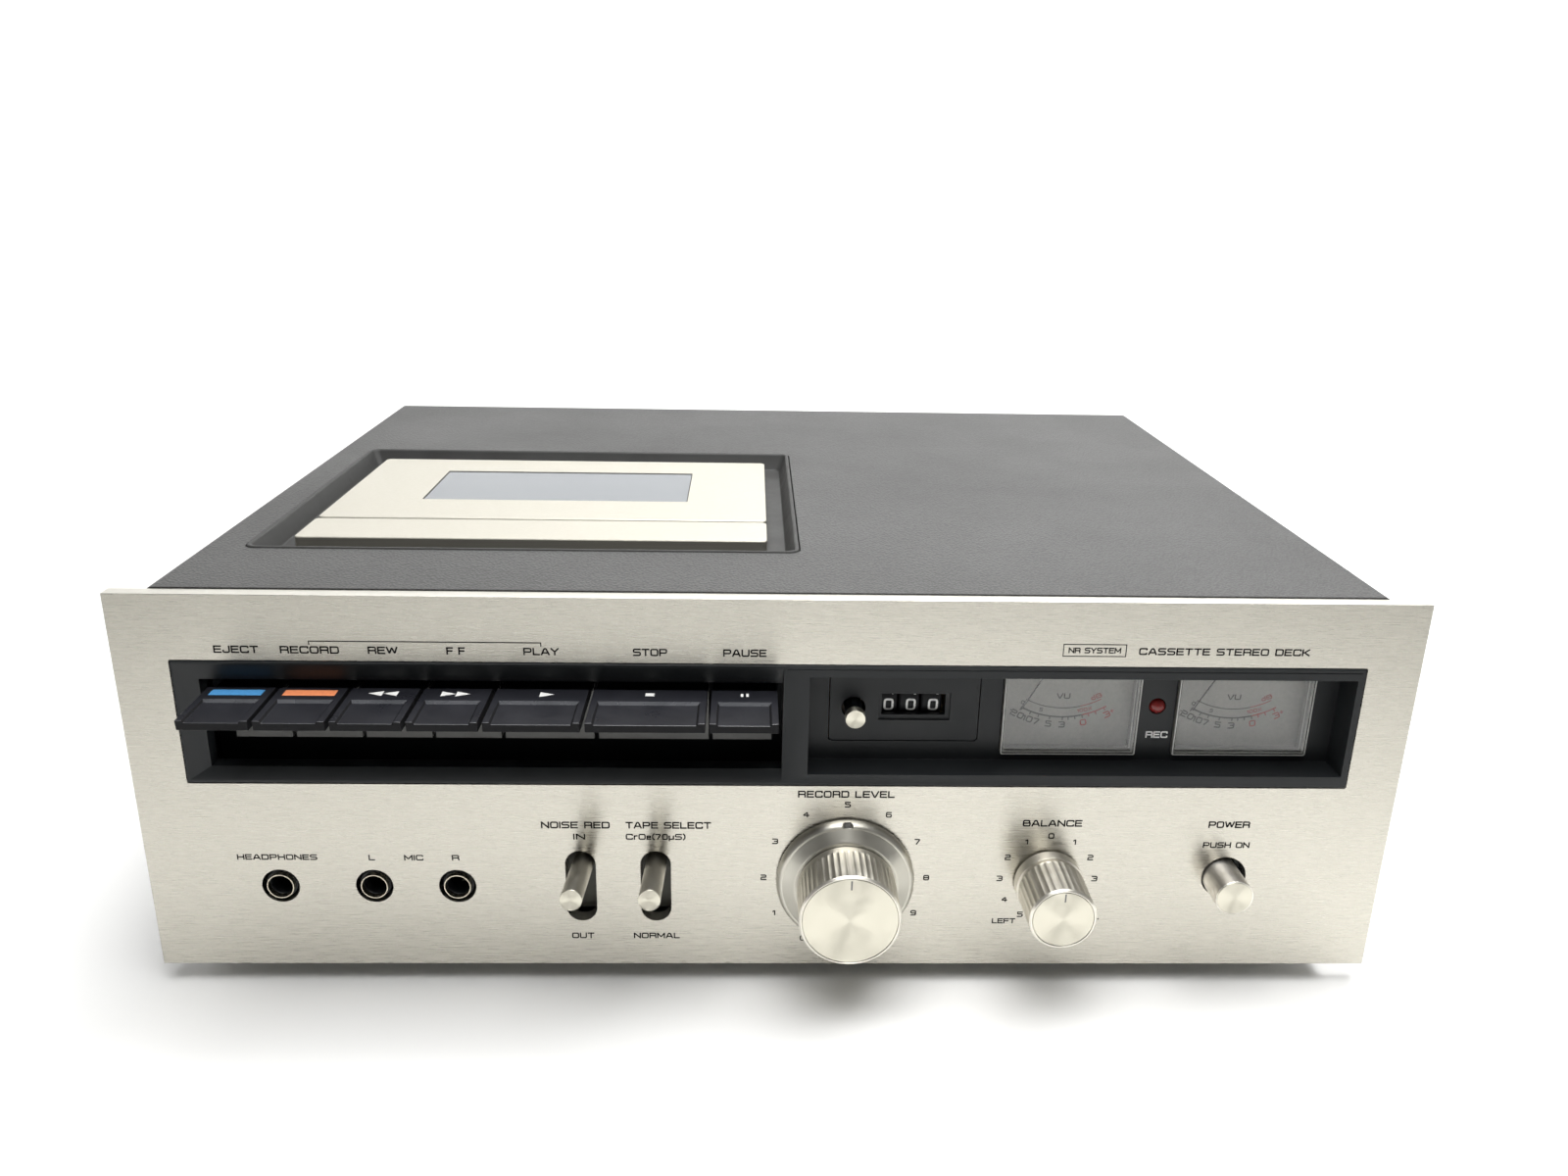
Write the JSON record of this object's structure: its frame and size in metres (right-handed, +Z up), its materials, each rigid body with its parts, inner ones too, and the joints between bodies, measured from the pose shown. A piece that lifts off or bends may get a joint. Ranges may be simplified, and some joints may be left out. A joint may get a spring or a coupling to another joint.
{
  "type": "cassette deck",
  "caption": "Full-width component cassette deck with a lid on top, piano keys, level meters, tape counter, rotary knobs and lever switches.",
  "frame": {"origin": "centre of the deck's box in plan, on the plane under the feet", "axes": "+X to the right seen from the front, +Y to the rear, +Z up; the front panel faces -Y"},
  "size_m": [0.41, 0.3334, 0.1403],
  "materials": {
    "brushed_panel": "brushed along its length, champagne tint",
    "turned_metal": "turned and spun, satin",
    "lid_metal": "satin champagne",
    "steel": "plated sheet and bar",
    "cover_coat": "charcoal leather-grain coating",
    "black_moulding": "matte black moulding",
    "key_plastic": "satin black",
    "rubber": "matte",
    "smoked_acrylic": "smoked, polished",
    "clear_acrylic": "clear, polished",
    "dial_grey": "printed dial",
    "needle_black": "matte",
    "white_plastic": "moulded",
    "lamp_red": "tinted lens, unlit",
    "circuit_board": "board with parts",
    "iron": "laminated core"
  },
  "bodies": {
    "deck": {"front_panel": "brushed_panel", "control_bezel": "black_moulding", "counter_housing": "black_moulding", "top_cover": "cover_coat", "lid_surround": "black_moulding", "bottom_chassis": "steel", "rear_panel": "steel", "transport_frame": "steel", "key_pivot_rod": "steel", "head_cover": "lid_metal", "lid_hinge_pin": "steel", "drive_motor": "steel", "drive_belt": "rubber", "level_control": "steel", "balance_control": "steel", "power_switch": "black_moulding", "lever_switch_frame": "steel", "headphone_jack": "turned_metal", "left_microphone_jack": "turned_metal", "right_microphone_jack": "turned_metal", "left_meter_case": "dial_grey", "right_meter_case": "dial_grey", "left_meter_cover": "clear_acrylic", "right_meter_cover": "clear_acrylic", "record_lamp": "lamp_red", "power_transformer": "iron", "main_circuit_board": "circuit_board", "line_socket_block": "black_moulding", "front_left_foot": "rubber", "front_right_foot": "rubber", "rear_left_foot": "rubber", "rear_right_foot": "rubber"},
    "lid": {"cassette_lid": "lid_metal", "lid_window": "smoked_acrylic"},
    "outer_level_knob": {"outer_level_knob": "turned_metal"},
    "inner_level_knob": {"inner_level_knob": "turned_metal"},
    "balance_knob": {"balance_knob": "turned_metal"},
    "power_button": {"power_button": "turned_metal"},
    "noise_reduction_lever": {"noise_reduction_lever": "turned_metal"},
    "tape_select_lever": {"tape_select_lever": "turned_metal"},
    "left_meter_needle": {"left_meter_needle": "needle_black"},
    "right_meter_needle": {"right_meter_needle": "needle_black"},
    "counter_reset_button": {"counter_reset_button": "turned_metal"},
    "hundreds_wheel": {"hundreds_wheel": "black_moulding"},
    "tens_wheel": {"tens_wheel": "black_moulding"},
    "units_wheel": {"units_wheel": "black_moulding"},
    "flywheel": {"capstan_flywheel": "steel"},
    "motor_pulley": {"motor_pulley": "white_plastic"},
    "supply_spindle": {"supply_spindle": "white_plastic"},
    "takeup_spindle": {"takeup_spindle": "white_plastic"},
    "head_carriage": {"head_carriage": "steel", "record_play_head": "turned_metal"},
    "pinch_roller": {"pinch_roller": "rubber"},
    "eject_key": {"eject_key": "key_plastic"},
    "record_key": {"record_key": "key_plastic"},
    "rewind_key": {"rewind_key": "key_plastic"},
    "fast_forward_key": {"fast_forward_key": "key_plastic"},
    "play_key": {"play_key": "key_plastic"},
    "stop_key": {"stop_key": "key_plastic"},
    "pause_key": {"pause_key": "key_plastic"}
  },
  "joints": [
    {"name": "lid_hinge", "type": "hinge", "parent": "deck", "child": "lid", "pos_m": [0, 0.04267, 0.1295], "axis": [-1, 0, 0], "range_deg": [0, 60]},
    {"name": "eject_press", "type": "hinge", "parent": "deck", "child": "eject_key", "pos_m": [-0.16665, -0.08833, 0.1], "axis": [1, 0, 0], "range_deg": [0, 7], "stiffness_Nm_per_rad": 0.5, "springref_deg": -8.59},
    {"name": "record_press", "type": "hinge", "parent": "deck", "child": "record_key", "pos_m": [-0.1442, -0.08833, 0.1], "axis": [1, 0, 0], "range_deg": [0, 7], "stiffness_Nm_per_rad": 0.5, "springref_deg": -8.59},
    {"name": "rewind_press", "type": "hinge", "parent": "deck", "child": "rewind_key", "pos_m": [-0.1218, -0.08833, 0.1], "axis": [1, 0, 0], "range_deg": [0, 7], "stiffness_Nm_per_rad": 0.5, "springref_deg": -8.59},
    {"name": "fast_forward_press", "type": "hinge", "parent": "deck", "child": "fast_forward_key", "pos_m": [-0.0994, -0.08833, 0.1], "axis": [1, 0, 0], "range_deg": [0, 7], "stiffness_Nm_per_rad": 0.5, "springref_deg": -8.59},
    {"name": "play_press", "type": "hinge", "parent": "deck", "child": "play_key", "pos_m": [-0.0731, -0.08833, 0.1], "axis": [1, 0, 0], "range_deg": [0, 7], "stiffness_Nm_per_rad": 0.5, "springref_deg": -8.59},
    {"name": "stop_press", "type": "hinge", "parent": "deck", "child": "stop_key", "pos_m": [-0.0394, -0.08833, 0.1], "axis": [1, 0, 0], "range_deg": [0, 7], "stiffness_Nm_per_rad": 0.5, "springref_deg": -8.59},
    {"name": "pause_press", "type": "hinge", "parent": "deck", "child": "pause_key", "pos_m": [-0.0099, -0.08833, 0.1], "axis": [1, 0, 0], "range_deg": [0, 7], "stiffness_Nm_per_rad": 0.5, "springref_deg": -8.59},
    {"name": "head_carriage_slide", "type": "slide", "parent": "deck", "child": "head_carriage", "axis": [0, 1, 0], "range_m": [0, 0.006], "stiffness_N_per_m": 40, "springref_m": -0.005},
    {"name": "pinch_roller_spin", "type": "hinge", "parent": "head_carriage", "child": "pinch_roller", "pos_m": [-0.052, -0.04543, 0.122], "axis": [0, 0, 1], "continuous": true},
    {"name": "flywheel_spin", "type": "hinge", "parent": "deck", "child": "flywheel", "pos_m": [-0.052, -0.03133, 0.079], "axis": [0, 0, 1], "continuous": true},
    {"name": "motor_pulley_spin", "type": "hinge", "parent": "deck", "child": "motor_pulley", "pos_m": [-0.14, 0.00967, 0.079], "axis": [0, 0, 1], "continuous": true},
    {"name": "supply_reel_spin", "type": "hinge", "parent": "deck", "child": "supply_spindle", "pos_m": [-0.10645, -0.00333, 0.118], "axis": [0, 0, 1], "continuous": true},
    {"name": "takeup_reel_spin", "type": "hinge", "parent": "deck", "child": "takeup_spindle", "pos_m": [-0.06395, -0.00333, 0.118], "axis": [0, 0, 1], "continuous": true},
    {"name": "hundreds_wheel_spin", "type": "hinge", "parent": "deck", "child": "hundreds_wheel", "pos_m": [0.037, -0.11703, 0.0995], "axis": [1, 0, 0], "continuous": true},
    {"name": "tens_wheel_spin", "type": "hinge", "parent": "deck", "child": "tens_wheel", "pos_m": [0.04435, -0.11703, 0.0995], "axis": [1, 0, 0], "continuous": true},
    {"name": "units_wheel_spin", "type": "hinge", "parent": "deck", "child": "units_wheel", "pos_m": [0.0517, -0.11703, 0.0995], "axis": [1, 0, 0], "continuous": true},
    {"name": "counter_reset_press", "type": "slide", "parent": "deck", "child": "counter_reset_button", "axis": [0, 1, 0], "range_m": [0, 0.003], "stiffness_N_per_m": 150, "springref_m": -0.002},
    {"name": "left_meter_needle_swing", "type": "hinge", "parent": "deck", "child": "left_meter_needle", "pos_m": [0.096, -0.12503, 0.1222], "axis": [0, -1, 0], "range_deg": [0, 59], "stiffness_Nm_per_rad": 0.00005, "springref_deg": -28.65},
    {"name": "right_meter_needle_swing", "type": "hinge", "parent": "deck", "child": "right_meter_needle", "pos_m": [0.15335, -0.12503, 0.1222], "axis": [0, -1, 0], "range_deg": [0, 59], "stiffness_Nm_per_rad": 0.00005, "springref_deg": -28.65},
    {"name": "outer_level_turn", "type": "hinge", "parent": "deck", "child": "outer_level_knob", "pos_m": [0.0241, -0.14633, 0.0409], "axis": [0, -1, 0], "range_deg": [-150, 150]},
    {"name": "inner_level_turn", "type": "hinge", "parent": "deck", "child": "inner_level_knob", "pos_m": [0.0241, -0.16473, 0.0409], "axis": [0, -1, 0], "range_deg": [-150, 150]},
    {"name": "balance_turn", "type": "hinge", "parent": "deck", "child": "balance_knob", "pos_m": [0.092, -0.16373, 0.041], "axis": [0, -1, 0], "range_deg": [-150, 150]},
    {"name": "power_press", "type": "slide", "parent": "deck", "child": "power_button", "axis": [0, 1, 0], "range_m": [0, 0.004], "stiffness_N_per_m": 300, "springref_m": -0.003},
    {"name": "noise_reduction_switch", "type": "hinge", "parent": "deck", "child": "noise_reduction_lever", "pos_m": [-0.0632, -0.09333, 0.0379], "axis": [1, 0, 0], "range_deg": [0, 18]},
    {"name": "tape_select_switch", "type": "hinge", "parent": "deck", "child": "tape_select_lever", "pos_m": [-0.0389, -0.09333, 0.0379], "axis": [1, 0, 0], "range_deg": [0, 18]}
  ],
  "couplings": [
    {"joint": "head_carriage_slide", "follows": "play_press", "m_per_rad": 0.049111},
    {"joint": "motor_pulley_spin", "follows": "flywheel_spin", "ratio": 6.2},
    {"joint": "units_wheel_spin", "follows": "takeup_reel_spin", "ratio": 0.5},
    {"joint": "tens_wheel_spin", "follows": "takeup_reel_spin", "ratio": 0.05},
    {"joint": "hundreds_wheel_spin", "follows": "takeup_reel_spin", "ratio": 0.005}
  ]
}
